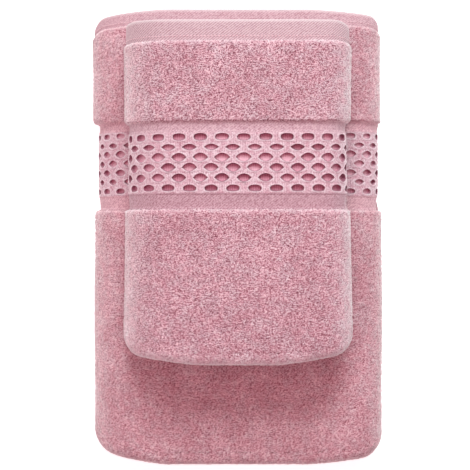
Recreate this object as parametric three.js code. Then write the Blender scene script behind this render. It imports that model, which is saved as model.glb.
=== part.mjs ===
// A set of two terry towels, each folded into a bundle, the hand towel lying on the bath towel.
// Millimetres, +Z up. The origin is the centre of the footprint, on the surface the set lies on.
//
// Each towel is one cloth. It is folded in half along its length twice, which makes a packet of four
// leaves, and the packet is then folded in three across its width, with both flaps tucked behind.
// A piece is drawn as a section through the packet (along the towel, and down through the leaves),
// swept across the packet and bent round the two side folds.

import * as THREE from 'three';

// Clear space between two layers of cloth and between two neighbouring sections.
const GAP = 0.3;

const LEAVES_IN_PACKET = 4;
const PACKETS_IN_BUNDLE = 3;

// Steps round a side fold, and round a fold at the end of the packet.
const SIDE_FOLD_STEPS = 10;
const END_FOLD_STEPS = 5;

// How far the face of each kind of cloth lies below the tips of the terry loops.
const HEM_RECESS = 0.9;
const STRIPE_RECESS = 1.2;
const BAND_RECESS = 0.6;

// The sewing thread of a hem, lying on the hem's face beside the edge of the terry.
const THREAD_WIDTH = 0.8;
const THREAD_HEIGHT = 0.4;
const THREAD_FROM_TERRY = 2.0;

// The bundle is what the folded towel measures. The zones run from the towel's end along its length.
const BATH_TOWEL = {
  name: 'bath',
  bundle: { width: 226, length: 352, height: 64 },
  centre: { x: 0, y: 0, base: 0 },
  zones: { hem: 10.8, endTerry: 75, upperStripe: 7.5, band: 51, lowerStripe: 9.4 },
};

const HAND_TOWEL = {
  name: 'hand',
  bundle: { width: 173, length: 255, height: 58 },
  centre: { x: 1.2, y: 32.9, base: BATH_TOWEL.bundle.height + GAP },
  zones: { hem: 14.7, endTerry: 59.4, upperStripe: 7.7, band: 46.3, lowerStripe: 10.5 },
};

function fabric(colour, roughness) {
  return new THREE.MeshStandardMaterial({ color: colour, roughness, metalness: 0 });
}

const TERRY = fabric(0xd09ba6, 0.95);
const FLAT_WEAVE = fabric(0xdcb8c0, 0.8);
const OPENWORK = fabric(0xdba9b5, 0.85);
const THREAD = fabric(0xe0bcc5, 0.6);

// What follows from the driving dimensions of one towel.
function proportions(towel) {
  const { width, length, height } = towel.bundle;
  const packet = (height - (PACKETS_IN_BUNDLE - 1) * GAP) / PACKETS_IN_BUNDLE;
  const leaf = (packet - (LEAVES_IN_PACKET - 1) * GAP) / LEAVES_IN_PACKET;
  const leftRadius = height / 2;
  const rightRadius = packet + GAP / 2;
  return {
    packet,
    leaf,
    leftRadius,
    rightRadius,
    leftCentre: -width / 2 + leftRadius,
    rightCentre: width / 2 - rightRadius,
    top: length / 2,
    bottom: -length / 2,
    endFoldStart: -length / 2 + packet / 2,
  };
}

// The outer face of the packet, followed from the hidden flap's edge, round the right side fold,
// over the front, round the left side fold and along the back to the other edge. Each station is
// a point of that face and the direction in through the packet.
function stationsAcross(towel) {
  const p = proportions(towel);
  const hiddenFlapFace = p.packet + GAP;
  const hiddenFlapEdge = p.leftCentre;
  const backFlapEdge = towel.bundle.width / 2 - GAP;
  const stations = [];

  function add(x, z, inX, inZ) {
    stations.push({ x, z, inX, inZ });
  }

  function addFold(x, z, radius, startAngle) {
    for (let i = 0; i <= SIDE_FOLD_STEPS; i += 1) {
      const angle = startAngle + (Math.PI * i) / SIDE_FOLD_STEPS;
      const c = Math.cos(angle);
      const s = Math.sin(angle);
      add(x + radius * c, z + radius * s, -c, -s);
    }
  }

  add(hiddenFlapEdge, hiddenFlapFace, 0, 1);
  addFold(p.rightCentre, hiddenFlapFace + p.rightRadius, p.rightRadius, -Math.PI / 2);
  addFold(p.leftCentre, p.leftRadius, p.leftRadius, Math.PI / 2);
  add(backFlapEdge, 0, 0, 1);
  return stations;
}

// Sweeps a section (along the towel, down through the packet) across all the stations.
function sweepAcross(section, stations) {
  const last = stations.length - 1;
  const geometry = new THREE.ExtrudeGeometry(section, { depth: last, steps: last, bevelEnabled: false });
  const position = geometry.attributes.position;
  for (let i = 0; i < position.count; i += 1) {
    const along = position.getX(i);
    const depth = position.getY(i);
    const station = stations[Math.round(position.getZ(i))];
    position.setXYZ(i, station.x + station.inX * depth, along, station.z + station.inZ * depth);
  }
  geometry.computeVertexNormals();
  return geometry;
}

function rectangle(from, to, upper, lower) {
  const shape = new THREE.Shape();
  shape.moveTo(from, upper);
  shape.lineTo(to, upper);
  shape.lineTo(to, lower);
  shape.lineTo(from, lower);
  shape.closePath();
  return shape;
}

// The middle of the towel, terry from one lower stripe to the other. It starts on the front leaf,
// turns round the bottom of the packet to the back leaf, turns at the top, comes back down, turns
// inside the first fold and ends on the leaf just under the front.
function foldedField(towel, start) {
  const p = proportions(towel);
  const half = p.leaf / 2;
  const [front, under, inner, back] = [0, 1, 2, 3].map((leaf) => half + leaf * (p.leaf + GAP));
  const topTurnStart = p.top - (back - inner) / 2 - half;
  const oneFace = [];
  const otherFace = [];

  // A point of the cloth's centre line, and the unit vector across the cloth there.
  function add(along, depth, acrossAlong, acrossDepth) {
    oneFace.push(new THREE.Vector2(along + half * acrossAlong, depth + half * acrossDepth));
    otherFace.unshift(new THREE.Vector2(along - half * acrossAlong, depth - half * acrossDepth));
  }

  // A turn bulges towards the bottom of the packet (-1) or the top (+1), and facing is +1 where the
  // first face is on the outside of the turn.
  function addTurn(along, fromDepth, toDepth, bulge, facing) {
    const middle = (fromDepth + toDepth) / 2;
    const reach = (fromDepth - toDepth) / 2;
    for (let i = 0; i <= END_FOLD_STEPS; i += 1) {
      const angle = (Math.PI * i) / END_FOLD_STEPS;
      const outAlong = bulge * Math.sin(angle);
      const outDepth = Math.sign(reach) * Math.cos(angle);
      add(
        along + Math.abs(reach) * outAlong,
        middle + Math.abs(reach) * outDepth,
        facing * outAlong,
        facing * outDepth,
      );
    }
  }

  add(start, front, 0, -1);
  addTurn(p.endFoldStart, front, back, -1, 1);
  addTurn(topTurnStart, back, inner, 1, 1);
  addTurn(p.endFoldStart, inner, under, -1, -1);
  add(start, under, 0, 1);
  return new THREE.Shape([...oneFace, ...otherFace]);
}

function sweptMesh(name, section, towel, material) {
  const mesh = new THREE.Mesh(sweepAcross(section, stationsAcross(towel)), material);
  mesh.name = `${towel.name}_${name}`;
  return mesh;
}

// The woven zones of one end, from the hem inwards. The near end is the front leaf, and the far end
// is the leaf just under it, with its face turned the other way.
function addEndZones(group, towel, end, firstDepth) {
  const p = proportions(towel);
  const zones = [
    { name: 'hem', size: towel.zones.hem, recess: HEM_RECESS, material: FLAT_WEAVE },
    { name: 'end_terry', size: towel.zones.endTerry, recess: 0, material: TERRY },
    { name: 'upper_stripe', size: towel.zones.upperStripe, recess: STRIPE_RECESS, material: FLAT_WEAVE },
    { name: 'openwork_band', size: towel.zones.band, recess: BAND_RECESS, material: OPENWORK },
    { name: 'lower_stripe', size: towel.zones.lowerStripe, recess: STRIPE_RECESS, material: FLAT_WEAVE },
  ];
  let along = p.top;
  for (const zone of zones) {
    const section = rectangle(
      along - zone.size + GAP,
      along,
      firstDepth + zone.recess,
      firstDepth + p.leaf - zone.recess,
    );
    group.add(sweptMesh(`${end}_${zone.name}`, section, towel, zone.material));
    along -= zone.size;
  }
  return along;
}

// One row of stitches in the hem's face, which the sewing thread stands a little proud of.
function addHemSeam(group, towel, end, faceDepth) {
  const p = proportions(towel);
  const along = p.top - towel.zones.hem + THREAD_FROM_TERRY;
  const section = rectangle(along, along + THREAD_WIDTH, faceDepth - THREAD_HEIGHT, faceDepth);
  group.add(sweptMesh(`${end}_hem_seam`, section, towel, THREAD));
}

function buildTowel(towel) {
  const group = new THREE.Group();
  const p = proportions(towel);
  const pitch = p.leaf + GAP;
  const fieldStart = addEndZones(group, towel, 'near', 0);
  addEndZones(group, towel, 'far', pitch);
  addHemSeam(group, towel, 'near', HEM_RECESS - GAP);
  addHemSeam(group, towel, 'far', pitch + HEM_RECESS - GAP);
  group.add(sweptMesh('main_terry', foldedField(towel, fieldStart), towel, TERRY));
  group.position.set(towel.centre.x, towel.centre.y, towel.centre.base);
  return group;
}

const towelSet = new THREE.Group();
towelSet.add(buildTowel(BATH_TOWEL));
towelSet.add(buildTowel(HAND_TOWEL));

export default towelSet;
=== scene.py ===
"""A folded bath towel with a folded hand towel lying on it: the looks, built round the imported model.

Each towel is one cloth, folded in four along its length and in three across its width. Every zone of
the cloth is a closed shell, worked out in the flat packet (across, along, depth), bent round the two
side folds and then settled, as a pile of soft layers settles. Lengths are in metres.
"""

import functools
import math

import bpy
import numpy as np
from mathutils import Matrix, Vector


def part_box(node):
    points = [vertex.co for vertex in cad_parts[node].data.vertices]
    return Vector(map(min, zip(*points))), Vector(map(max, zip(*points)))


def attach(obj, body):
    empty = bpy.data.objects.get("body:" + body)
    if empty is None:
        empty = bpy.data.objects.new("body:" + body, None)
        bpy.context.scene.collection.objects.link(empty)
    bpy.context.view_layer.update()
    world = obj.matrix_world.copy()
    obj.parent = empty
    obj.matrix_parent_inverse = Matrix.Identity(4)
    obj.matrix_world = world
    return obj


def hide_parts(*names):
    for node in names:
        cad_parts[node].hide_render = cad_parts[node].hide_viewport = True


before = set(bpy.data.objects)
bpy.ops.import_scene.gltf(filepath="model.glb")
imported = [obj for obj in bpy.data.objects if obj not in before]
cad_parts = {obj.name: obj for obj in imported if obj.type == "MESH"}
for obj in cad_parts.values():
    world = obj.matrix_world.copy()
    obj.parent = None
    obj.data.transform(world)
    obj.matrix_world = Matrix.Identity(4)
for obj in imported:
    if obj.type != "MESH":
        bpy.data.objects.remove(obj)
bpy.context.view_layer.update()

MM = 0.001

# ---- the folded bundle
GAP = 0.3 * MM  # between layers, as in the CAD model
TURNS = 3  # layers of the packet, one over the other
LEAVES = 4  # leaves of cloth in the packet

# How deep the flat zones lie under the tips of the terry, and how far the bundle is pinched there.
HEM_RECESS = 0.9 * MM
STRIPE_RECESS = 1.2 * MM
BAND_RECESS = 0.6 * MM
HEM_PINCH = 1.2 * MM
BORDER_PINCH = 0.9 * MM
BORDER_WAIST = {"bath": 2.3 * MM, "hand": 1.3 * MM}  # how much further its sides are drawn in there
PINCH_RAMP = 2.4 * MM

# Slump: the share of the height that is lost at an edge, and how far in it begins.
LEFT_SLUMP = {"bath": 0.30, "hand": 0.40}
LEFT_SLUMP_WIDTH = {"bath": 62 * MM, "hand": 70 * MM}
RIGHT_SLUMP = 0.12
RIGHT_SLUMP_WIDTH = 38 * MM
END_SLUMP = 0.04
END_SLUMP_LENGTH = 36 * MM

# How far each side is drawn in, in millimetres: above the border, at it, and at the bottom end.
LEFT_DRAW = {"bath": (-1.1, 0.7, 0.4), "hand": (-0.5, 0.7, -0.7)}
RIGHT_DRAW = {"bath": (0.3, -0.7, -1.3), "hand": (2.1, 3.8, 0.3)}

# Corners seen from above, in millimetres: how far the end draws in at the very side, first as a
# long gentle bow, then as a quarter ellipse over the width given last.
BOTTOM_LEFT = {"bath": (9.5, 13, 18), "hand": (7, 12, 14)}
BOTTOM_RIGHT = {"bath": (7, 14, 17), "hand": (9.5, 13, 15)}
TOP_LEFT = {"bath": (5, 15, 12), "hand": (-2, 4, 12)}
TOP_RIGHT = {"bath": (5, 11, 10), "hand": (0, 9, 15)}
BOW_WIDTH = 59 * MM
BOW_POWER = 1.3
CORNER_REACH = 70 * MM  # how far from the end, along the towel, a corner's draw begins
TOP_POWER = 1.75  # above 1, it begins more gently at the top end
DRAW_POWER = 3  # how late a side's draw begins, from the middle outwards
DRAW_STEP = 2 * MM  # from the border's top, up and down, where the draw changes

UNDULATION = 0.8 * MM
UNDULATION_SIZE = 55 * MM
SWAY = 0.5 * MM  # how unevenly the sides are drawn in
SWAY_LENGTH = 60 * MM
SWAY_HEIGHT = 25 * MM
SINK_SHARE = 0.85  # of the slump under it that the hand towel follows
SINK_LIMITS = (-1 * MM, 9 * MM)

# ---- the cloth
LOOP_PITCH = 1.55 * MM
LOOP_STRAY = (0.45, 0.35)  # how far the loops stray across and along, in pitches
STRAY_SIZE = 2.3
LOOP_RADIUS = 0.95  # in pitches
CREASE_WIDTH = 0.35
CREASE_SHARE = 0.35  # of the height that is left in the crease between two loops
SHORTEST_LOOP = 0.62  # as a share of the tallest
PILE_DEPTH = 1.35 * MM
TERRY_OVERHANG = 1.8 * MM  # how far the end terry's loops reach over the stripe below it
TERRY_SETBACK = 0.4 * MM  # how far its loops keep from the hem
MAIN_SETBACK = 0.9 * MM  # how far the main terry keeps from the stripe above it
FOLD_SETBACK = 1 * MM  # how far the inner leaves keep from the bottom fold
TERRY_RIM = 0.3  # how far in the edge of a zone is rounded, as a share of its thickness
HEM_RIM = 0.8
RIM_ROUNDING = 0.8  # how far down it is rounded, as a share of half the thickness
LEVEL_PILE = 0.6  # the pile's height, from 0 to 1, where no loops are modelled
FRAY = 1.3 * MM  # how unevenly the loops end along an edge of the terry
FRAY_REACH = 2 * MM
ROOT_SHADE = 0.7  # painted shade at the lower edge of the terry, where the loops' roots show: how much darker it is painted
ROOT_SHADE_REACH = 0.8 * MM
TOP_EDGE_HIGHLIGHT = 0.5  # painted highlight: how much paler the cloth is painted at the upper edge of a zone, which faces the light
TOP_EDGE_HIGHLIGHT_REACH = 4 * MM
FOLD_SHEEN = {"bath": 0.03, "hand": 0.34}  # painted sheen, paler in the same way, along the side folds
END_SHEEN = {"bath": 0.1, "hand": 0.7}  # and round the bottom end
# The middle and the reach of the stretch with painted sheen: in arcs of the side fold from the front's
# edge, and in packets from the start of the bottom fold.
RIGHT_SHEEN_STRETCH = (-0.33, 0.36)
LEFT_SHEEN_STRETCH = (0.38, 0.30)
END_SHEEN_STRETCH = (0.6, 0.7)
FOLD_POWER = 0.62  # 1 makes the bottom fold round, and less makes it squarer
HOLE_PITCH = {"bath": 15.1 * MM, "hand": 16.0 * MM}
HOLE_ROWS = {"bath": 7, "hand": 6}
HOLE_SHIFT = {"bath": 5.4 * MM, "hand": 0.0}  # how far the pattern is moved to the right in the middle
HEM_TUCK = 1.5 * MM  # how far the hem reaches under the edge of the terry
STITCH_LENGTH = 2.6 * MM
STITCH_SHARE = 0.82  # of its length that is on the face
STITCH_WIDTH = 0.7 * MM
STITCH_FLATNESS = 0.8
STITCH_RISE = 0.12 * MM
STITCH_TIP = 0.05  # the square of its thickness at its ends, as a share of its width

# The steps of the meshes, where the cloth shows and where a fold hides it.
TERRY_STEP = {"bath": 1.04 * MM, "hand": 0.74 * MM}
HIDDEN_TERRY_STEP = {"bath": 6 * MM, "hand": 5 * MM}
INNER_STEP = 5 * MM
INNER_TURN_STEP = 1.2 * MM
FAR_STEP = 4 * MM
HEM_STEP = 0.7 * MM
FLAT_STEP = 1.5 * MM
HIDDEN_FLAT_STEP = 3 * MM
STRIPE_STEP = 1.2 * MM
BACK_STEP = 8 * MM

# Each kind of noise has a seed of its own, added to the towel's.
SEEDS = {"bath": 100, "hand": 500}
WAVE_SEED, SWAY_SEED, OUTLINE_SEED, FLUFF_SEED, DEPTH_SEED, LIGHT_SEED = 7, 9, 21, 22, 23, 24


# ---- smooth noise
NOISE_CELLS = 64  # before the noise repeats
LOOP_CELLS = 256


def unit(value):
    """The value, kept between 0 and 1."""
    return np.clip(value, 0, 1)


@functools.cache
def noise_table(seed):
    return np.random.default_rng(seed).uniform(-1, 1, (NOISE_CELLS, NOISE_CELLS))


def value_noise(x, y, seed):
    """Smooth noise from -1 to 1, with one wave about every two units."""
    table = noise_table(seed)
    ix, iy = np.floor(x).astype(int), np.floor(y).astype(int)
    fx, fy = x - ix, y - iy
    fx, fy = fx * fx * (3 - 2 * fx), fy * fy * (3 - 2 * fy)

    def row(y):
        here, beside = table[ix % NOISE_CELLS, y], table[(ix + 1) % NOISE_CELLS, y]
        return here * (1 - fx) + beside * fx

    return row(iy % NOISE_CELLS) * (1 - fy) + row((iy + 1) % NOISE_CELLS) * fy


def loop_heights(u, v, seed):
    """The height of the terry loops, from 0 in the pits to 1 at the tips."""
    x, y = u / LOOP_PITCH, v / LOOP_PITCH
    stray_x = LOOP_STRAY[0] * value_noise(x / STRAY_SIZE, y / STRAY_SIZE, seed + 1)
    stray_y = LOOP_STRAY[1] * value_noise(x / STRAY_SIZE, y / STRAY_SIZE, seed + 2)
    x, y = x + stray_x, y + stray_y
    table = np.random.default_rng(seed).random((LOOP_CELLS, LOOP_CELLS, 3))
    ix, iy = np.floor(x).astype(int), np.floor(y).astype(int)
    nearest = np.full(x.shape, np.inf)
    second = np.full(x.shape, np.inf)
    own = np.zeros(x.shape)
    for dx in (-1, 0, 1):
        for dy in (-1, 0, 1):
            cell = table[(ix + dx) % LOOP_CELLS, (iy + dy) % LOOP_CELLS]
            loop_x = ix + dx + cell[..., 0]
            loop_y = iy + dy + 0.2 + 0.6 * cell[..., 1]  # closer to its row than to its column
            dist = np.hypot(x - loop_x, y - loop_y)
            closer = dist < nearest
            second = np.where(closer, nearest, np.minimum(second, dist))
            own = np.where(closer, cell[..., 2], own)
            nearest = np.where(closer, dist, nearest)
    dome = np.sqrt(unit(1 - (nearest / LOOP_RADIUS) ** 2))
    crease = unit((second - nearest) / CREASE_WIDTH)
    crease = CREASE_SHARE + (1 - CREASE_SHARE) * crease
    return unit(dome * crease * (SHORTEST_LOOP + (1 - SHORTEST_LOOP) * own))


# ---- one towel's measures
class Towel:
    """The measures of one folded towel, all read from its CAD nodes."""

    def __init__(self, name):
        self.name = name
        low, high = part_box(f"{name}_main_terry")
        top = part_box(f"{name}_near_hem")[1].y
        self.body = f"{name}_towel"
        self.half_width = (high.x - low.x) / 2
        self.half_length = (top - low.y) / 2
        self.height = high.z - low.z
        self.centre = Vector(((high.x + low.x) / 2, (top + low.y) / 2, low.z))
        self.packet = (self.height - (TURNS - 1) * GAP) / TURNS
        self.leaf = (self.packet - (LEAVES - 1) * GAP) / LEAVES
        self.left_radius = self.height / 2
        self.right_radius = self.packet + GAP / 2
        self.left_arc = math.pi * self.left_radius
        self.right_arc = math.pi * self.right_radius
        self.left_centre = self.left_radius - self.half_width
        self.right_centre = self.half_width - self.right_radius
        self.flap = self.right_centre - self.left_centre
        self.back = self.half_width - GAP - self.left_centre
        self.fold_start = self.packet / 2 - self.half_length
        self.across = self.flap * 2 + self.back + math.pi * (self.left_radius + self.right_radius)
        self.cloth_width = self.across - math.pi * self.packet  # along the packet's middle line
        self.seed = SEEDS[name]

    @functools.cache
    def zone(self, name):
        """(upper, lower) edge of a woven zone, along the towel from the bundle's middle."""
        low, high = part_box(f"{self.name}_near_{name}")
        return high.y - self.centre.y, low.y - self.centre.y


# ---- bending and settling
def bend(towel, u, depth):
    """Across the packet to (x, z): the hidden flap, right fold, front, left fold, back flap."""
    t = towel
    ends = np.cumsum([t.flap, t.right_arc, t.flap, t.left_arc, t.back])
    face = t.packet + GAP
    angle_right = (u - ends[0]) / t.right_radius - math.pi / 2
    angle_left = (u - ends[2]) / t.left_radius + math.pi / 2
    inside = [u < end for end in ends[:4]]
    reach_right = t.right_radius - depth
    reach_left = t.left_radius - depth
    x = np.select(inside, [
        t.left_centre + u,
        t.right_centre + reach_right * np.cos(angle_right),
        t.right_centre - (u - ends[1]),
        t.left_centre + reach_left * np.cos(angle_left),
    ], t.left_centre + (u - ends[3]))
    z = np.select(inside, [
        face + depth,
        face + t.right_radius + reach_right * np.sin(angle_right),
        t.height - depth,
        t.left_radius + reach_left * np.sin(angle_left),
    ], depth)
    return x, z


def ramp(value, start, width):
    """0 before start, rising as a square to 1 at start + width."""
    return unit((value - start) / width) ** 2


def smooth_box(y, low, high, width):
    """1 between low and high, falling smoothly to 0 over width outside them."""
    up = unit((y - low + width) / width)
    down = unit((high + width - y) / width)
    s = np.minimum(up, down)
    return s * s * (3 - 2 * s)


def at_border(towel, y):
    """1 along the border, falling to 0 on both sides of it."""
    border_top = towel.zone("upper_stripe")[0]
    border_bottom = towel.zone("lower_stripe")[1]
    return smooth_box(y, border_bottom, border_top - PINCH_RAMP, PINCH_RAMP)


def pinch(towel, y):
    """How far the packet is thinned at the border and the hem, where the cloth has no pile."""
    hem_bottom = towel.zone("hem")[1]
    hem = HEM_PINCH * smooth_box(y, hem_bottom, 1.0, PINCH_RAMP)
    return BORDER_PINCH * at_border(towel, y) + hem


def corner_draw(from_side, corner):
    """How far an end draws in at a distance from the side."""
    bow, draw, width = np.multiply(corner, MM)
    into_bow = unit(1 - from_side / BOW_WIDTH)
    into_corner = unit(1 - from_side / width)
    return bow * into_bow ** BOW_POWER + draw * (1 - np.sqrt(1 - into_corner ** 2))


def side_draw(towel, y, draws):
    """How far a side is drawn in along the towel."""
    above, border, end = np.multiply(draws, MM)
    border_top = towel.zone("upper_stripe")[0]
    places = [-towel.half_length, border_top - DRAW_STEP, border_top + DRAW_STEP]
    return np.interp(y, places, [end, border, above]) + BORDER_WAIST[towel.name] * at_border(towel, y)


def slump(towel, x, y):
    """The share of the height that a point keeps."""
    left_width = LEFT_SLUMP_WIDTH[towel.name]
    left = LEFT_SLUMP[towel.name] * ramp(-x, towel.half_width - left_width, left_width)
    right = RIGHT_SLUMP * ramp(x, towel.half_width - RIGHT_SLUMP_WIDTH, RIGHT_SLUMP_WIDTH)
    end = END_SLUMP * ramp(np.abs(y), towel.half_length - END_SLUMP_LENGTH, END_SLUMP_LENGTH)
    return (1 - left - right) * (1 - end)


def undulation(towel, x, y):
    """The slow waves of the front face."""
    return UNDULATION * value_noise(x / UNDULATION_SIZE, y / UNDULATION_SIZE, towel.seed + WAVE_SEED)


def top_surface(towel, x, y):
    """The height of the settled front face over the towel's base."""
    return towel.height * slump(towel, x, y) + undulation(towel, x, y)


def settle(towel, x, y, z):
    """The stiff bundle's shape turned into a soft one. All are from the bundle's bottom centre."""
    side = towel.half_width
    name = towel.name
    new_z = (z - pinch(towel, y)) * slump(towel, x, y) + undulation(towel, x, y) * z / towel.height

    bottom = corner_draw(side + x, BOTTOM_LEFT[name]) + corner_draw(side - x, BOTTOM_RIGHT[name])
    top = corner_draw(side + x, TOP_LEFT[name]) + corner_draw(side - x, TOP_RIGHT[name])
    near_bottom = ramp(-y, towel.half_length - CORNER_REACH, CORNER_REACH)
    near_top = ramp(y, towel.half_length - CORNER_REACH, CORNER_REACH) ** TOP_POWER
    new_y = y + bottom * near_bottom - top * near_top

    sway = SWAY * value_noise(y / SWAY_LENGTH, z / SWAY_HEIGHT, towel.seed + SWAY_SEED)
    left = (side_draw(towel, y, LEFT_DRAW[name]) + sway) * unit(-x / side) ** DRAW_POWER
    right = (side_draw(towel, y, RIGHT_DRAW[name]) + sway) * unit(x / side) ** DRAW_POWER
    return x + left - right, new_y, new_z


def place(towel, u, y, depth):
    """Points of the packet (across, along, depth), bent, settled and laid in their place."""
    thinned = pinch(towel, y)
    depth = thinned + depth * (towel.packet - thinned) / towel.packet
    x, z = bend(towel, u, depth)
    x, y, z = settle(towel, x, y, z)
    world_x = x + towel.centre.x
    world_y = y + towel.centre.y
    base = towel.centre.z
    if towel is hand:
        drop = bath.height - top_surface(bath, world_x - bath.centre.x, world_y - bath.centre.y)
        base = base - SINK_SHARE * np.clip(drop, *SINK_LIMITS)
    return np.stack([world_x, world_y, np.maximum(z, 0) + base], -1)


# ---- mesh making
class MeshParts:
    """Points and faces collected before they become one Blender mesh."""

    def __init__(self, towel):
        self.towel = towel
        self.cloth = []
        self.heights = []
        self.faces = []
        self.slots = []
        self.count = 0

    def add_points(self, u, y, depth, heights=0.5):
        """Points given in the packet, with their pile height, which also carries painted light and
        shade. Returns their numbers.
        """
        u, y, depth, heights = np.broadcast_arrays(u, y, depth, heights)
        ids = self.count + np.arange(u.size).reshape(u.shape)
        self.cloth.append(np.stack([u, y, depth], -1).reshape(-1, 3))
        self.heights.append(heights.reshape(-1))
        self.count += u.size
        return ids

    def add_faces(self, faces, slot=0):
        """Faces with three or four corners. A triangle's fourth corner is kept as -1."""
        faces = np.asarray(faces, int)
        if faces.shape[1] == 3:
            faces = np.pad(faces, ((0, 0), (0, 1)), constant_values=-1)
        self.faces.append(faces)
        self.slots.append(np.full(len(faces), slot))

    def add_grid(self, ids, slot=0):
        """Faces between the points of a grid, given as their numbers."""
        a, b, c, d = ids[:-1, :-1], ids[1:, :-1], ids[1:, 1:], ids[:-1, 1:]
        self.add_faces(np.stack([a, b, c, d], -1).reshape(-1, 4), slot)

    def add_strip(self, left, right, at_left, at_right, flip=False):
        """Triangles between two lines of points that start and end level but differ in count."""
        faces = []
        i = j = 0
        while i < len(left) - 1 or j < len(right) - 1:
            next_left = at_left[i + 1] if i < len(left) - 1 else math.inf
            next_right = at_right[j + 1] if j < len(right) - 1 else math.inf
            if next_left <= next_right:
                faces.append((left[i], left[i + 1], right[j]))
                i += 1
            else:
                faces.append((left[i], right[j + 1], right[j]))
                j += 1
        self.add_faces(np.array(faces)[:, ::-1] if flip else faces)

    def build(self, zone, materials):
        """The Blender piece, which also carries what the materials read."""
        name = f"{self.towel.name}_towel_{zone}"
        lists = self.cloth, self.heights, self.faces, self.slots
        cloth, heights, faces, slots = map(np.concatenate, lists)
        points = place(self.towel, *cloth.T)
        sizes = np.where(faces[:, 3] < 0, 3, 4)
        corners = faces[faces >= 0]
        mesh = bpy.data.meshes.new(name)
        mesh.vertices.add(len(points))
        mesh.vertices.foreach_set("co", points.astype(np.float32).reshape(-1))
        mesh.loops.add(len(corners))
        mesh.loops.foreach_set("vertex_index", corners.astype(np.int32))
        mesh.polygons.add(len(faces))
        starts = np.concatenate([[0], np.cumsum(sizes)[:-1]])
        mesh.polygons.foreach_set("loop_start", starts.astype(np.int32))
        mesh.polygons.foreach_set("material_index", slots.astype(np.int32))
        mesh.update(calc_edges=True)
        mesh.validate()
        mesh.polygons.foreach_set("use_smooth", np.ones(len(mesh.polygons), bool))
        # The pile attribute holds the pile's height and, with it, painted highlight and painted shade;
        # in the holes it holds their painted light.
        pile = mesh.attributes.new("pile", "FLOAT", "POINT")
        pile.data.foreach_set("value", heights.astype(np.float32))
        flat = mesh.attributes.new("cloth", "FLOAT_VECTOR", "POINT")
        flat.data.foreach_set("vector", cloth.astype(np.float32).reshape(-1))
        for material in materials:
            mesh.materials.append(material)
        piece = bpy.data.objects.new(name, mesh)
        bpy.context.collection.objects.link(piece)
        return piece


# ---- lines along the towel
class Line:
    """Stations along the cloth in the packet: place (y, depth), outward direction, length run."""

    def __init__(self, y, depth, out_y, out_depth):
        self.stations = np.stack([y, depth, out_y, out_depth])
        self.y, self.depth, self.out_y, self.out_depth = self.stations
        steps = np.hypot(np.diff(self.y), np.diff(self.depth))
        self.run = np.concatenate([[0], np.cumsum(steps)])

    def sparse(self, wanted):
        """The same line with fewer stations, keeping both ends."""
        keep = np.unique(np.round(np.linspace(0, len(self.y) - 1, wanted)).astype(int))
        return Line(*self.stations[:, keep]), keep


def straight_line(start, end, depth, step, outward=-1):
    """A line along a leaf, whose outer face is to the front (-1) or to the back (1)."""
    count = max(2, int(abs(start - end) / step) + 1)
    y = np.linspace(start, end, count)
    return Line(y, np.full(count, depth), np.zeros(count), np.full(count, float(outward)))


def join_lines(*lines):
    """One line from several, each of which starts where the one before it stops."""
    joined = lines[0].stations
    for line in lines[1:]:
        shared = np.hypot(*(line.stations[:2, 0] - joined[:2, -1])) < 1e-6
        joined = np.concatenate([joined, line.stations[:, int(shared):]], 1)
    return Line(*joined)


def turn_line(start_y, from_depth, to_depth, bulge, facing, step, power=1.0):
    """A half turn of the cloth that bulges to the bottom (-1) or the top (+1) of the packet."""
    middle = (from_depth + to_depth) / 2
    reach = abs(from_depth - to_depth) / 2
    sign = math.copysign(1, from_depth - to_depth)

    def round_turn(angle, exponent):
        c, s = np.cos(angle), np.sin(angle)
        return bulge * unit(s) ** exponent, sign * np.sign(c) * np.abs(c) ** exponent

    # Evenly spaced along the turn: found on a much finer copy of it.
    angle = np.linspace(0, math.pi, 500)
    turn_y, turn_depth = round_turn(angle, power)
    run = np.concatenate([[0], np.cumsum(np.hypot(np.diff(turn_y), np.diff(turn_depth)))])
    count = max(7, int(run[-1] * reach / step) + 1)
    angle = np.interp(np.linspace(0, run[-1], count), run, angle)
    turn_y, turn_depth = round_turn(angle, power)
    out_y, out_depth = round_turn(angle, 2 - power)
    scale = facing / np.hypot(out_y, out_depth)
    return Line(start_y + reach * turn_y, middle + reach * turn_depth, scale * out_y, scale * out_depth)


# ---- shells of cloth
def pile_heights(towel, uu, run, u, pile):
    """Loops where the columns are close enough to carry them, and a level pile elsewhere."""
    if pile == 0:
        return np.full(uu.shape, 0.5)
    spacing = np.gradient(u)[:, None]
    share = unit(2 - spacing / LOOP_PITCH)
    return share * loop_heights(uu, run, towel.seed) + (1 - share) * LEVEL_PILE


def bump(value, middle, reach):
    """1 at the middle, falling smoothly to 0 at the reach on both sides."""
    return unit(1 - ((value - middle) / reach) ** 2) ** 2


def painted_fold_sheen(towel, u, from_turn):
    """Painted sheen: how much paler the loops are painted along the outer folds and round the bottom
    end, as seen from above.
    """
    arc_right, arc_left = towel.right_arc, towel.left_arc
    front_start = towel.flap + arc_right
    front_end = front_start + towel.flap
    right = bump(u, front_start + RIGHT_SHEEN_STRETCH[0] * arc_right, RIGHT_SHEEN_STRETCH[1] * arc_right)
    left = bump(u, front_end + LEFT_SHEEN_STRETCH[0] * arc_left, LEFT_SHEEN_STRETCH[1] * arc_left)
    end = bump(from_turn, END_SHEEN_STRETCH[0] * towel.packet, END_SHEEN_STRETCH[1] * towel.packet)
    sides = FOLD_SHEEN[towel.name] * np.maximum(left, right)
    end = END_SHEEN[towel.name] * end
    return np.maximum(sides, end)


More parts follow.
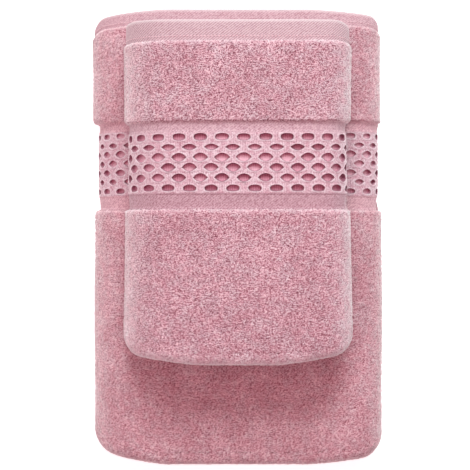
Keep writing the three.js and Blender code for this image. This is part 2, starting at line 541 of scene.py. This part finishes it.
def shell(towel, segments, half, pile, zone, material, rim=0.5, back_rows=12, turn_at=math.inf):
    """A closed shell of cloth: an outer face in one or more segments, a rim, and a plain back.

    A segment is a line along the cloth and its columns across, so that a fold that shows can be finer
    than the leaves it joins. The outer fold starts at the run turn_at, where there is one.
    """
    parts = MeshParts(towel)
    whole = join_lines(*[line for line, u in segments])
    length = whole.run[-1]
    across = segments[0][1]
    front, runs = [], []
    start = 0.0
    for line, u in segments:
        runs.append(start + line.run)
        uu, run = np.meshgrid(u, runs[-1], indexing="ij")
        height = pile_heights(towel, uu, run, u, pile)
        edge = np.minimum.reduce([uu - across[0], across[-1] - uu, run, length - run])
        rounded = unit(1 - edge / (rim * half * 2)) ** 2
        offset = half - pile * (1 - height) - rounded * half * RIM_ROUNDING
        # Painted light in the pile attribute: a painted highlight along a zone's upper edge and the
        # outer folds, and painted shade at the terry's lower edge.
        painted_highlight = TOP_EDGE_HIGHLIGHT * unit(1 - run / TOP_EDGE_HIGHLIGHT_REACH)
        fray, root_shade = 0, 1
        if pile > 0:
            at_start = unit(1 - run / FRAY_REACH)
            at_end = unit(1 - (length - run) / FRAY_REACH)
            fray = FRAY * (height - 0.5) * (at_start - at_end)
            root_shade = 1 - ROOT_SHADE * unit(1 - (length - run) / ROOT_SHADE_REACH)
            painted_highlight = painted_highlight + painted_fold_sheen(towel, uu, run - turn_at)
        y = line.y + line.out_y * offset + fray
        depth = line.depth + line.out_depth * offset
        front.append(parts.add_points(u[:, None], y, depth, height * root_shade + painted_highlight))
        parts.add_grid(front[-1])
        start = runs[-1][-1]
    for i in range(len(segments) - 1):
        above, below = segments[i][1], segments[i + 1][1]
        parts.add_strip(front[i][:, -1], front[i + 1][:, 0], above, below)

    back_line, kept = whole.sparse(back_rows)
    y = back_line.y - back_line.out_y * half
    depth = back_line.depth - back_line.out_depth * half
    back = parts.add_points(across[:, None], y, depth)
    parts.add_grid(back[:, ::-1])

    # The rim: the long edges, then the short ones.
    run, back_run = np.concatenate(runs), whole.run[kept]
    near_edge, far_edge = np.concatenate([grid[[0, -1]] for grid in front], 1)
    parts.add_strip(near_edge, back[0], run, back_run)
    parts.add_strip(far_edge, back[-1], run, back_run, flip=True)
    parts.add_strip(front[0][:, 0], back[:, 0], across, across, flip=True)
    parts.add_strip(front[-1][:, -1], back[:, -1], segments[-1][1], across)
    return parts.build(zone, [material])


def stations(start, stop, step):
    """Evenly spaced values from start to stop, about a step apart."""
    return np.linspace(start, stop, max(2, int(abs(stop - start) / step) + 1))


def columns(towel, fine, coarse):
    """Places across the cloth, fine where the outside of the bundle shows and coarse elsewhere."""
    start, end = towel.flap, towel.across - towel.back
    hidden, back = stations(0, start, coarse)[:-1], stations(end, towel.across, coarse)[1:]
    return np.concatenate([hidden, stations(start, end, fine), back])


# ---- the zones
def leaf_depth(towel, leaf):
    """The depth of the middle of a leaf, counted from the front."""
    return towel.leaf / 2 + leaf * (towel.leaf + GAP)


def make_end_terry(towel, end, leaf, fine, coarse):
    """The short terry field between a hem and a border."""
    upper, lower = towel.zone("end_terry")
    depth = leaf_depth(towel, leaf)
    line = straight_line(upper - TERRY_SETBACK, lower - TERRY_OVERHANG, depth, fine)
    u = columns(towel, fine, coarse)
    zone, pile = f"{end}_end_terry", end_terry[towel.name]
    piece = shell(towel, [(line, u)], towel.leaf / 2, PILE_DEPTH, zone, pile, rim=TERRY_RIM)
    finish_zone(piece, towel, [zone])


def make_main_front(towel, fine, coarse):
    """The front of the main terry field and its turn round the bottom of the packet."""
    start = towel.zone("lower_stripe")[1]
    half = towel.leaf / 2
    front = straight_line(start - MAIN_SETBACK, towel.fold_start, half, fine)
    turn = turn_line(towel.fold_start, half, towel.packet - half, -1, 1, fine, FOLD_POWER)
    segments = [(front, columns(towel, fine, coarse)), (turn, stations(0, towel.across, fine))]
    pile, turn_at = terry[towel.name], front.run[-1]
    piece = shell(towel, segments, half, PILE_DEPTH, "main_terry_front", pile, 0.5, 24, turn_at)
    finish_zone(piece, towel, ["main_terry"])


def make_inner_leaves(towel, fine):
    """The rest of the main field: up the back leaf, over at the top and down to the other border."""
    start = towel.zone("lower_stripe")[1]
    back, inner, under = (leaf_depth(towel, leaf) for leaf in (3, 2, 1))
    top_turn = towel.half_length - towel.leaf - GAP / 2
    up = straight_line(towel.fold_start + FOLD_SETBACK, top_turn, back, INNER_STEP, outward=1)
    over = turn_line(top_turn, back, inner, 1, 1, fine)
    down = join_lines(
        straight_line(top_turn, towel.fold_start, inner, INNER_STEP, outward=-1),
        turn_line(towel.fold_start, inner, under, -1, -1, INNER_TURN_STEP),
        straight_line(towel.fold_start, start + MAIN_SETBACK, under, INNER_STEP, outward=1),
    )
    hidden = stations(0, towel.across, INNER_STEP / 2)
    segments = [(up, hidden), (over, stations(0, towel.across, fine)), (down, hidden)]
    half, pile = towel.leaf / 2, terry[towel.name]
    piece = shell(towel, segments, half, PILE_DEPTH, "inner_leaves", pile, back_rows=90)
    finish_zone(piece, towel, ["main_terry"])


def make_hem(towel, end, leaf):
    """The end of the cloth, turned under twice and sewn down."""
    upper, lower = towel.zone("hem")
    half = towel.leaf / 2 - HEM_RECESS
    line = straight_line(upper, lower - HEM_TUCK, leaf_depth(towel, leaf), HEM_STEP)
    u = columns(towel, FLAT_STEP, HIDDEN_FLAT_STEP)
    piece = shell(towel, [(line, u)], half, 0, f"{end}_hem", flat_weave["hem", towel.name], rim=HEM_RIM)
    finish_zone(piece, towel, [f"{end}_hem"])


def make_hem_seam(towel, end, leaf):
    """A row of short raised stitches beside the edge of the terry."""
    low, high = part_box(f"{towel.name}_{end}_hem_seam")
    y = (low.y + high.y) / 2 - towel.centre.y
    face = leaf_depth(towel, leaf) - towel.leaf / 2 + HEM_RECESS
    parts = MeshParts(towel)
    rings, sides = 5, 6
    along = np.linspace(-0.5, 0.5, rings)
    swell = np.sqrt(np.clip(1 - (2 * along) ** 2, STITCH_TIP, 1))
    angle = np.linspace(0, 2 * math.pi, sides, endpoint=False)
    for i in range(int(towel.across / STITCH_LENGTH)):
        u = (i + 0.5 + STITCH_SHARE * along[:, None]) * STITCH_LENGTH
        half = STITCH_WIDTH / 2 * swell[:, None]
        ring_y = y + half * np.cos(angle)
        depth = face - STITCH_RISE - half * STITCH_FLATNESS * np.sin(angle)
        ids = parts.add_points(u, ring_y, depth)
        parts.add_grid(np.concatenate([ids, ids[:, :1]], 1))
        parts.add_faces([ids[0, [0, 1, 2, 3]], ids[0, [0, 3, 4, 5]]])
        parts.add_faces([ids[-1, [3, 2, 1, 0]], ids[-1, [5, 4, 3, 0]]])
    piece = parts.build(f"{end}_hem_seam", [thread])
    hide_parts(f"{towel.name}_{end}_hem_seam")
    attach(piece, towel.body)


# A hole's cell, ring by ring: how far from the cell's edge (0) to the hole's outline (1), the
# outline's scale, in millimetres the depth under the band's face and the shift towards the top,
# which undercuts the hole's upper edge, and how light it is painted: a painted highlight on the rim,
# painted shade down the walls and on the floor.
HOLE_RINGS = [
    (0.45, 1.00, -0.15, 0.00, 0.50),
    (0.80, 1.00, -0.45, 0.00, 0.72),
    (1.00, 1.03, -0.40, 0.00, 0.95),
    (1.00, 0.98, 0.10, 0.10, 0.20),
    (1.00, 0.95, 1.00, 0.40, 0.14),
    (1.00, 0.92, 2.00, 0.75, 0.14),
    (1.00, 0.80, 2.80, 0.95, 0.24),
    (1.00, 0.40, 2.90, 0.70, 0.28),
]
HOLE_FLOOR = 2.9
FLOOR_FROM = 0.8 * HOLE_FLOOR  # how deep the walls of a hole give way to its floor
HOLE_WIDTHS = (0.63, 0.70, 0.73, 0.72, 0.72, 0.63)  # of its cell, row by row
HOLE_HEIGHTS = (0.74, 0.68, 0.96, 0.91, 0.88, 0.70)
# Painted light of the holes' walls and floors, by row and by towel.
HOLE_LIGHTS = (0.9, 0.9, 1.15, 1.15, 0.85, 0.75)
HOLE_SIZE = {"bath": 0.9, "hand": 1.0}
HOLE_LIGHT = {"bath": 1.75, "hand": 1.05}
HOLE_SHADE = 0.9  # painted shade: how much darker a hole is painted below its upper edge
LAST_ROW_SHADE = 0.3
LEAN_SHADE = 0.7  # the same on the side away from the front, in the turn of a fold
# How pointed the upper and the lower half of a hole are: most in the middle rows.
POINTS = (1.8, 2.3)
FIRST_ROW_POINTS = (0.7, 0.8)
LAST_ROW_POINTS = (1.3, 0.5)
# How much the holes differ, and over what distance.
OUTLINE_VARIATION = 0.08
LIGHT_VARIATION = 0.3
LIGHT_SIZE = 9 * MM
DEPTH_VARIATION = 0.25
DEPTH_SIZE = 25 * MM
NET_FLUFF = 0.18 * MM
FLUFF_SIZE = 1.1 * MM
TUCK = 1.7 * MM  # how far the lower stripe reaches under the edge of the terry
GROOVE_DEPTH = 0.05 * MM
STRIPE_DIP = 0.9 * MM
BAND_TOP_MARGIN = 1.1 * MM
BAND_BOTTOM_MARGIN = 0.5 * MM
BORDER_BACK = 0.2 * MM  # how far its back keeps from the next leaf's side
CELL_ACROSS = 10
CELL_ALONG = 4
STRIPE_SLOT, NET_SLOT, FLOOR_SLOT, LOWER_STRIPE_SLOT = range(4)


class Band:
    """The measures of a towel's openwork band, along the cloth and into it, and its columns."""

    def __init__(self, towel):
        self.rows = HOLE_ROWS[towel.name]
        self.edges = towel.zone("openwork_band")[0], towel.zone("lower_stripe")[0]
        self.top = self.edges[0] - BAND_TOP_MARGIN
        self.bottom = self.edges[1] + BAND_BOTTOM_MARGIN
        self.row_height = (self.top - self.bottom) / self.rows
        self.face = BAND_RECESS
        cells = round(towel.across / HOLE_PITCH[towel.name])
        u = np.linspace(0, towel.across, cells * CELL_ACROSS + 1)
        self.u = u - HOLE_SHIFT[towel.name] * np.sin(math.pi * u / towel.across)


def hole_outline(angle, half_across, half_along, row, rows):
    """A lens with pointed sides. The first row's is flat at the top, the last row's at the bottom."""
    points = {0: FIRST_ROW_POINTS, rows - 1: LAST_ROW_POINTS}.get(row, POINTS)
    c, s = np.cos(angle), np.sin(angle)
    return half_across * c, half_along * np.sign(s) * np.abs(s) ** np.where(s > 0, *points)


def fold_lean(towel, u):
    """How far a hole is turned away towards a side fold: -1 to the right, 1 to the left."""
    front_middle = towel.flap * 1.5 + towel.right_arc
    return np.clip((u - front_middle) / (towel.half_width * 0.9), -1, 1) ** 3


def border_ends(towel):
    """The upper and the lower edge of a border. The lower one is under the edge of the terry."""
    return towel.zone("upper_stripe")[0], towel.zone("lower_stripe")[1] - TUCK


def finish_border(piece, towel, end):
    top, bottom = border_ends(towel)
    nodes = [f"{end}_{zone}" for zone in ("upper_stripe", "openwork_band", "lower_stripe")]
    finish_zone(piece, towel, nodes)


def make_far_border(towel):
    """The border inside the bundle: one plain strip, because only its edge can be seen."""
    line = straight_line(*border_ends(towel), leaf_depth(towel, 1), FAR_STEP)
    u = stations(0, towel.across, HIDDEN_FLAT_STEP)
    half = towel.leaf / 2 - STRIPE_RECESS
    piece = shell(towel, [(line, u)], half, 0, "far_border", flat_weave["upper_stripe", towel.name])
    finish_border(piece, towel, "far")


def stripe_profiles(towel, band):
    """The places along the towel, and the depths there, of the upper and of the lower stripe.

    Each stripe ends in a small groove and a step up to the band. The lower one dips to the terry.
    """
    top, bottom = border_ends(towel)
    band_top, band_bottom = band.edges
    groove = STRIPE_RECESS + GROOVE_DEPTH
    upper_y = stations(top, band_top + 1.0 * MM, STRIPE_STEP)
    upper_depth = np.full(len(upper_y), STRIPE_RECESS)
    upper_y = np.concatenate([upper_y, [band_top + 0.3 * MM, band_top - 0.1 * MM, band.top]])
    upper_depth = np.concatenate([upper_depth, [groove, band.face, band.face]])
    lower_y = stations(band_bottom - 1.2 * MM, bottom, STRIPE_STEP)
    lower_depth = STRIPE_RECESS + STRIPE_DIP * np.linspace(0, 1, len(lower_y))
    lower_y = np.concatenate([[band.bottom, band_bottom, band_bottom - 0.5 * MM], lower_y])
    lower_depth = np.concatenate([[band.face, band.face, groove], lower_depth])
    return (upper_y, upper_depth), (lower_y, lower_depth)


def make_near_border(towel):
    """Both flat stripes and the band between them, with its rows of lens-shaped holes."""
    band = Band(towel)
    u = band.u[:, None]
    parts = MeshParts(towel)
    upper_profile, lower_profile = stripe_profiles(towel, band)
    upper = parts.add_points(u, *upper_profile)
    parts.add_grid(upper, STRIPE_SLOT)
    lower = parts.add_points(u, *lower_profile)
    parts.add_grid(lower, LOWER_STRIPE_SLOT)

    # The lines between the rows of cells, which the cells on both sides share.
    row_lines = [upper[:, -1]]
    for row in range(1, band.rows):
        row_lines.append(parts.add_points(band.u, band.top - row * band.row_height, band.face))
    row_lines.append(lower[:, 0])
    edges = [upper[[0, -1], :-1]]
    for row in range(band.rows):
        edges.append(add_row(parts, band, row, row_lines[row], row_lines[row + 1]))
    edges.append(lower[[0, -1]])
    left_edge, right_edge = np.concatenate(edges, 1)

    # The plain back and the rim.
    back_y = stations(*border_ends(towel), BACK_STEP)
    back = parts.add_points(u, back_y, towel.leaf - BORDER_BACK)
    parts.add_grid(back[:, ::-1], STRIPE_SLOT)
    parts.add_grid(np.stack([back[:, 0], upper[:, 0]], 1))
    parts.add_grid(np.stack([lower[:, -1], back[:, -1]], 1))
    cells_y = band.top - band.row_height * np.arange(1, band.rows * CELL_ALONG + 1) / CELL_ALONG
    edge_y = np.concatenate([upper_profile[0], cells_y, lower_profile[0][1:]])
    parts.add_strip(left_edge, back[0], -edge_y, -back_y)
    parts.add_strip(right_edge, back[-1], -edge_y, -back_y, flip=True)
    upper_weave, lower_weave = (flat_weave[f"{zone}_stripe", towel.name] for zone in ("upper", "lower"))
    piece = parts.build("near_border", [upper_weave, net, hole_floor, lower_weave])
    finish_border(piece, towel, "near")


def add_row(parts, band, row, above, below):
    """One row of cells between two lines of points. Returns the points down its two ends."""
    row_top = band.top - row * band.row_height
    side_y = row_top - band.row_height * np.arange(1, CELL_ALONG) / CELL_ALONG
    last = len(band.u) - 1
    cuts = sorted({0, last, *range(CELL_ACROSS // 2 * (row % 2), last, CELL_ACROSS)})
    sides = {cut: parts.add_points(band.u[cut], side_y, band.face) for cut in cuts}
    for a, b in zip(cuts[:-1], cuts[1:]):
        over, under = above[a:b + 1], below[a:b + 1]
        if b - a == CELL_ACROSS:
            rim = np.concatenate([over, sides[b], under[::-1], sides[a][::-1]])
            add_hole(parts, band, row, band.u[a], band.u[b], rim)
        else:
            inner = parts.add_points(band.u[a + 1:b, None], side_y, band.face)
            inner = np.concatenate([sides[a][None, :], inner, sides[b][None, :]])
            parts.add_grid(np.concatenate([over[:, None], inner, under[:, None]], 1), NET_SLOT)
    return [[above[0], *sides[0]], [above[-1], *sides[last]]]


def add_hole(parts, band, row, left, right, rim):
    """One cell of the band: from the rim that it shares down into its hole, ring by ring."""
    towel, seed = parts.towel, parts.towel.seed
    half_u, half_y = (right - left) / 2, band.row_height / 2
    u_middle, y_middle = (left + right) / 2, band.top - row * band.row_height - half_y
    across = np.linspace(-1, 1, CELL_ACROSS + 1)
    down = 1 - 2 * np.arange(1, CELL_ALONG) / CELL_ALONG
    side, end = np.ones(CELL_ALONG - 1), np.ones(CELL_ACROSS + 1)
    rim_x = np.concatenate([across, side, across[::-1], -side])
    rim_y = np.concatenate([end, down, -end, down[::-1]])
    # The last row's shape is the last in the list, so a band with more rows repeats those before it.
    in_last_row = row == band.rows - 1
    shape = len(HOLE_WIDTHS) - 1 if in_last_row else row % (len(HOLE_WIDTHS) - 1)
    tall = half_y * HOLE_HEIGHTS[shape] * HOLE_SIZE[towel.name]
    wide = half_u * HOLE_WIDTHS[shape] * HOLE_SIZE[towel.name]
    hole_x, hole_y = hole_outline(np.arctan2(rim_y, rim_x), wide, tall, row, band.rows)

    # Painted shade under a hole's upper edge and on its side turned away in a fold, and painted light
    # that differs by row, towel and hole.
    lean = fold_lean(towel, u_middle)
    shade = (LAST_ROW_SHADE if in_last_row else HOLE_SHADE) * (1 - 0.5 * abs(lean)) * hole_y / tall
    shade = shade + LEAN_SHADE * lean * hole_x / wide
    painted_brightness = 1 + LIGHT_VARIATION * value_noise(u_middle / LIGHT_SIZE, row * 1.3, seed + LIGHT_SEED)
    painted_brightness = painted_brightness * HOLE_LIGHTS[shape] * HOLE_LIGHT[towel.name]
    around = (u_middle + hole_x) / half_u, row * 1.7 + hole_y / half_y
    outline = 1 + OUTLINE_VARIATION * value_noise(*around, seed + OUTLINE_SEED)
    deep = 1 + DEPTH_VARIATION * value_noise(u_middle / DEPTH_SIZE, row * 0.8, seed + DEPTH_SEED)
    previous = rim
    for blend, scale, depth, shift, light in HOLE_RINGS:
        u = u_middle + (rim_x * half_u * (1 - blend) + hole_x * blend * scale * outline)
        y = y_middle + (rim_y * half_y * (1 - blend) + hole_y * blend * scale * outline + shift * MM)
        fluff = NET_FLUFF * value_noise(u / FLUFF_SIZE, y / FLUFF_SIZE, seed + FLUFF_SEED)
        if depth > 0:
            light = np.clip(light * painted_brightness * (1 - shade * scale), 0, 0.5)
        ring = parts.add_points(u, y, band.face + depth * deep * MM + fluff, light)
        quads = np.stack([previous, np.roll(previous, -1), np.roll(ring, -1), ring], -1)
        parts.add_faces(quads, FLOOR_SLOT if depth > FLOOR_FROM else NET_SLOT)
        previous = ring
    y, depth = y_middle + shift * MM, band.face + HOLE_FLOOR * deep * MM
    centre = parts.add_points(u_middle, y, depth, HOLE_RINGS[-1][-1] * painted_brightness)
    centres = np.full(len(previous), int(centre))
    parts.add_faces(np.stack([previous, np.roll(previous, -1), centres], -1), FLOOR_SLOT)


def finish_zone(piece, towel, nodes):
    """What every zone of the cloth tells the frame."""
    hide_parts(*[f"{towel.name}_{node}" for node in nodes])
    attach(piece, towel.body)


# ---- materials
def srgb(red, green, blue):
    """A colour given as on a screen, 0 to 255, as the shader wants it."""
    def linear(c):
        c /= 255
        return c / 12.92 if c <= 0.04045 else ((c + 0.055) / 1.055) ** 2.4
    return (linear(red), linear(green), linear(blue), 1)


WHITE = (1, 1, 1, 1)
SHEEN_PINK = (1.0, 0.92, 0.92, 1)


class Shader:
    """A Principled material and short calls for the nodes that feed it."""

    def __init__(self, name, roughness, sheen, sheen_tint=SHEEN_PINK):
        self.material = bpy.data.materials.new(name)
        self.material.use_nodes = True
        self.tree = self.material.node_tree
        self.main = self.tree.nodes["Principled BSDF"]
        self.set(self.main, "Roughness", roughness)
        self.set(self.main, "Specular IOR Level", 0.2)
        self.set(self.main, "Sheen Weight", sheen)
        self.set(self.main, "Sheen Roughness", 0.36)
        self.set(self.main, "Sheen Tint", sheen_tint)

    def node(self, kind, **inputs):
        node = self.tree.nodes.new(kind)
        for key, value in inputs.items():
            self.set(node, key.replace("_", " "), value)
        return node

    def set(self, node, key, value):
        socket = node.inputs[int(key)] if key.isdigit() else node.inputs[key]
        if isinstance(value, bpy.types.NodeSocket):
            self.tree.links.new(value, socket)
        else:
            socket.default_value = value

    def attribute(self, name, output):
        node = self.tree.nodes.new("ShaderNodeAttribute")
        node.attribute_name = name
        return node.outputs[output]

    def cloth(self, turn=0.0, stretch=(1, 1, 1)):
        """Places on the flat cloth, turned about its face."""
        flat = self.attribute("cloth", "Vector")
        node = self.node("ShaderNodeMapping", Vector=flat, Scale=stretch, Rotation=(0, 0, turn))
        return node.outputs["Vector"]

    def noise(self, size, detail=2.0, vector=None):
        """Noise with features about this size, in metres."""
        if vector is None:
            vector = self.tree.nodes.new("ShaderNodeTexCoord").outputs["Object"]
        node = self.node("ShaderNodeTexNoise", Vector=vector, Scale=1 / size, Detail=detail)
        return node.outputs["Fac"]

    def bands(self, pitch, vector, distortion=0.0, detail_scale=1.0):
        """Ribs a pitch apart along the vector's first direction."""
        node = self.node("ShaderNodeTexWave", Vector=vector, Scale=math.pi / 10 / pitch,
                         Distortion=distortion, Detail_Scale=detail_scale)
        return node.outputs["Fac"]

    def cells(self, size, vector):
        """Cells about this size, from 0 at their edges to about a half in the middle."""
        node = self.node("ShaderNodeTexVoronoi", Vector=vector, Scale=1 / size)
        node.feature = "DISTANCE_TO_EDGE"
        return node.outputs["Distance"]

    def math(self, operation, a, b, clamp=False):
        node = self.tree.nodes.new("ShaderNodeMath")
        node.operation = operation
        node.use_clamp = clamp
        self.set(node, "0", a)
        self.set(node, "1", b)
        return node.outputs["Value"]

    def ramp(self, factor, *stops):
        """Colours along a factor, as (place, colour) pairs."""
        node = self.node("ShaderNodeValToRGB", Fac=factor)
        ramp = node.color_ramp
        while len(ramp.elements) < len(stops):
            ramp.elements.new(0.5)
        for element, (place_at, colour) in zip(ramp.elements, stops):
            element.position = place_at
            element.color = colour
        return node.outputs["Color"]

    def mix(self, factor, a, b, blend="MIX"):
        node = self.tree.nodes.new("ShaderNodeMix")
        node.data_type = "RGBA"
        node.blend_type = blend
        self.set(node, "0", factor)
        self.set(node, "6", a)
        self.set(node, "7", b)
        return node.outputs[2]

    def finish(self, colour, bump=None, distance=0.0005, strength=1.0):
        self.tree.links.new(colour, self.main.inputs["Base Color"])
        if bump is not None:
            node = self.node("ShaderNodeBump", Height=bump, Distance=distance, Strength=strength)
            self.tree.links.new(node.outputs["Normal"], self.main.inputs["Normal"])
        return self.material


# The terry's colours from the pits to the tips: the dark ones are painted shade, the palest a painted
# highlight.
PIT_SHADE = srgb(112, 46, 62)
DEEP_PINK = srgb(180, 119, 132)
MID_PINK = srgb(211, 163, 174)
TIP_PINK = srgb(239, 208, 214)


def make_terry(name, contrast, coarseness, tint):
    """Terry: loops in uneven rows across the cloth, with painted shade in the pits and the creases
    between loops and a painted highlight on their tips. Coarse loops show singly.
    """
    s = Shader(name, 0.95, 1.0)
    pile = s.attribute("pile", "Fac")
    fuzz = s.noise(0.45 * MM, 2)
    # Painted shade along the creases, where the cells meet.
    crease = s.cells(1.1 * MM, s.attribute("cloth", "Vector"))
    streaks = s.noise(0.75 * MM, 2, s.cloth(stretch=(0.45, 1, 1)))
    height = s.math("ADD", s.math("MULTIPLY", pile, 0.27), s.math("MULTIPLY", fuzz, 0.95))
    height = s.math("ADD", height, s.math("MULTIPLY", crease, 0.6 * coarseness))
    height = s.math("ADD", height, streaks)
    height = s.math("SUBTRACT", height, 1.15 + 0.065 * coarseness)
    height = s.math("ADD", s.math("MULTIPLY", height, contrast), 0.55, clamp=True)
    loops = s.ramp(height, (0.2, PIT_SHADE), (0.4, DEEP_PINK), (0.56, MID_PINK), (0.86, TIP_PINK))
    colour = s.mix(1.0, loops, tint, "MULTIPLY")
    patches = s.ramp(s.noise(22 * MM, 3), (0.35, srgb(240, 230, 232)), (0.65, WHITE))
    colour = s.mix(1.0, colour, patches, "MULTIPLY")
    greyer = s.ramp(s.noise(7 * MM, 2), (0.42, srgb(255, 247, 249)), (0.62, srgb(249, 254, 254)))
    colour = s.mix(1.0, colour, greyer, "MULTIPLY")
    return s.finish(colour, s.noise(0.6 * MM, 2), 0.0006, 0.7)


# For each zone and towel: the light and the dark colour, and the twill's share beside the grain.
FLAT_WEAVES = {
    ("hem", "bath"): (srgb(211, 174, 182), srgb(170, 121, 131), 0.15),
    ("hem", "hand"): (srgb(206, 176, 182), srgb(160, 118, 128), 0.3),
    # Each towel's stripes are one cloth: the hand's lower stripe is painted darker, as painted shade,
    # and the bath's lower stripe lighter, as painted light.
    ("upper_stripe", "bath"): (srgb(220, 176, 184), srgb(170, 114, 127), 0.1),
    ("upper_stripe", "hand"): (srgb(211, 176, 184), srgb(160, 110, 123), 0.1),
    ("lower_stripe", "bath"): (srgb(224, 182, 190), srgb(176, 122, 134), 0.1),
    ("lower_stripe", "hand"): (srgb(200, 162, 171), srgb(150, 100, 114), 0.1),
}


def make_flat_weave(name, light, dark, twill_share):
    """A smooth twill: fine diagonal lines crossed by finer threads, with a painted highlight along its
    upper edge.
    """
    s = Shader(name, 0.8, 0.2)
    twill = s.bands(1.5 * MM, s.cloth(math.radians(-52)), 1.2, 2.0)
    threads = s.bands(0.7 * MM, s.cloth(math.radians(90)), 0.6, 1.0)
    grain = s.noise(1.3 * MM, 3)
    weave = s.math("ADD", s.math("MULTIPLY", twill, twill_share), s.math("MULTIPLY", threads, 0.15))
    weave = s.math("ADD", weave, s.math("MULTIPLY", grain, 0.85 - twill_share))
    colour = s.ramp(weave, (0.32, dark), (0.62, light))
    # Painted highlight along the zone's upper edge, where the pile attribute is raised.
    edge = s.math("SUBTRACT", s.attribute("pile", "Fac"), 0.65, clamp=True)
    colour = s.mix(s.math("MULTIPLY", edge, 2.2, clamp=True), colour, srgb(206, 184, 187))
    return s.finish(colour, weave, 0.0003, 0.7)


def make_net():
    """The ribs round the holes: a painted highlight along the rims, and painted shade, deep pink, down
    the walls.
    """
    s = Shader("openwork_net", 0.85, 0.5)
    ribs = s.bands(1.3 * MM, s.cloth(), 0.8, 1.5)
    grain = s.noise(1.1 * MM, 3)
    height = s.math("ADD", s.math("MULTIPLY", ribs, 0.12), s.math("MULTIPLY", grain, 0.88))
    dark, middle, pale = srgb(170, 126, 138), srgb(206, 170, 180), srgb(226, 201, 208)
    face = s.ramp(height, (0.3, dark), (0.5, middle), (0.68, pale))
    blush = s.ramp(s.noise(5 * MM, 2), (0.35, srgb(246, 226, 231)), (0.6, WHITE))
    face = s.mix(1.0, face, blush, "MULTIPLY")
    # The pile attribute holds each ring's painted light.
    level = s.attribute("pile", "Fac")
    rim = s.math("MULTIPLY", s.math("SUBTRACT", level, 0.5, clamp=True), 1.3, clamp=True)
    face = s.mix(rim, face, srgb(232, 213, 218))
    painted_wall_shade = s.math("SUBTRACT", 1.0, s.math("MULTIPLY", level, 2.2, clamp=True), clamp=True)
    colour = s.mix(painted_wall_shade, face, srgb(122, 56, 78))
    return s.finish(colour, height, 0.0005, 0.8)


def make_hole_floor():
    """The cloth seen through the holes, with painted shade under their upper edges and painted light
    further down.
    """
    s = Shader("openwork_floor", 0.95, 0.2)
    grain = s.noise(0.9 * MM, 3)
    ribs = s.bands(1.7 * MM, s.cloth(), 0.8, 1.5)
    light = s.math("ADD", s.attribute("pile", "Fac"), s.math("MULTIPLY", grain, 0.24))
    light = s.math("ADD", light, s.math("MULTIPLY", ribs, 0.07))
    dark, middle, pale = srgb(134, 64, 86), srgb(188, 122, 140), srgb(216, 166, 179)
    colour = s.ramp(light, (0.2, dark), (0.4, middle), (0.62, pale))
    return s.finish(colour, grain, 0.0005, 0.8)


def make_thread():
    s = Shader("sewing_thread", 0.6, 0.3)
    twist = s.bands(0.5 * MM, s.cloth(math.radians(30)))
    colour = s.ramp(twist, (0.2, srgb(214, 166, 177)), (0.8, srgb(236, 200, 207)))
    return s.finish(colour, twist, 0.0002, 0.6)


def make_floor_material():
    s = Shader("floor_paper", 0.9, 0.0, WHITE)
    colour = s.ramp(s.noise(0.2, 2), (0.3, (0.90, 0.90, 0.90, 1)), (0.7, (0.93, 0.93, 0.93, 1)))
    s.set(s.main, "Emission Color", WHITE)
    s.set(s.main, "Emission Strength", FLOOR_GLOW)
    return s.finish(colour)


# ---- the room
SENSOR = 36.0
LENS = 123.6
CAMERA_PLACE = (-1.2 * MM, 2.1 * MM, 1.30)
FLOOR_SIZE = 8
FLOOR_GLOW = 0.56
WORLD_STRENGTH = 0.37
LIGHT_TARGET = (0, 0, 0.05)


def add_camera():
    """Straight over the set, looking down, with the hems at the top of the picture."""
    data = bpy.data.cameras.new("camera")
    camera = bpy.data.objects.new("camera", data)
    bpy.context.collection.objects.link(camera)
    data.sensor_width = SENSOR
    data.lens = LENS
    camera.location = CAMERA_PLACE
    bpy.context.scene.camera = camera


def add_area_light(name, location, size, power, colour):
    """A square lamp that faces the set."""
    data = bpy.data.lights.new(name, "AREA")
    data.color = colour
    data.shape = "SQUARE"
    data.size = size
    data.energy = power
    light = bpy.data.objects.new(name, data)
    light.location = location
    toward = Vector(LIGHT_TARGET) - Vector(location)
    light.rotation_euler = toward.to_track_quat("-Z", "Y").to_euler()
    bpy.context.collection.objects.link(light)


def add_room():
    """The floor, an even pale world, a key light beyond the hems and a pink fill from above."""
    bpy.ops.mesh.primitive_plane_add(size=FLOOR_SIZE)
    floor = bpy.context.object
    floor.name = "floor"
    floor.data.materials.append(make_floor_material())
    world = bpy.data.worlds.new("soft_studio")
    bpy.context.scene.world = world
    world.use_nodes = True
    background = world.node_tree.nodes["Background"]
    background.inputs["Color"].default_value = WHITE
    background.inputs["Strength"].default_value = WORLD_STRENGTH
    add_area_light("key", (0.16, 1.6, 1.6), 1.1, 53.5, (0.82, 1, 0.98))
    add_area_light("fill", (-0.3, -0.2, 1.9), 1.6, 15.5, (1, 0.5, 0.56))
    bpy.context.scene.view_settings.view_transform = "Standard"


# ---- the set
terry = {
    "bath": make_terry("bath_terry_pile", 1.0, 1.0, (1, 1, 0.98, 1)),
    "hand": make_terry("hand_terry_pile", 1.45, 0.6, (0.97, 1, 1, 1)),
}
end_terry = {
    "bath": terry["bath"],
    "hand": make_terry("hand_end_terry_pile", 1.6, 1.15, (0.97, 1, 1, 1)),
}
flat_weave = {}
for (zone, name), look in FLAT_WEAVES.items():
    flat_weave[zone, name] = make_flat_weave(f"{name}_{zone}_twill", *look)
net = make_net()
hole_floor = make_hole_floor()
thread = make_thread()

bath = Towel("bath")
hand = Towel("hand")

for towel in (bath, hand):
    fine, hidden = TERRY_STEP[towel.name], HIDDEN_TERRY_STEP[towel.name]
    make_hem(towel, "near", 0)
    make_hem_seam(towel, "near", 0)
    make_end_terry(towel, "near", 0, fine, hidden)
    make_near_border(towel)
    make_main_front(towel, fine, hidden)
    make_inner_leaves(towel, fine)
    make_far_border(towel)
    make_end_terry(towel, "far", 1, FAR_STEP, FAR_STEP)
    make_hem(towel, "far", 1)
    make_hem_seam(towel, "far", 1)

add_camera()
add_room()
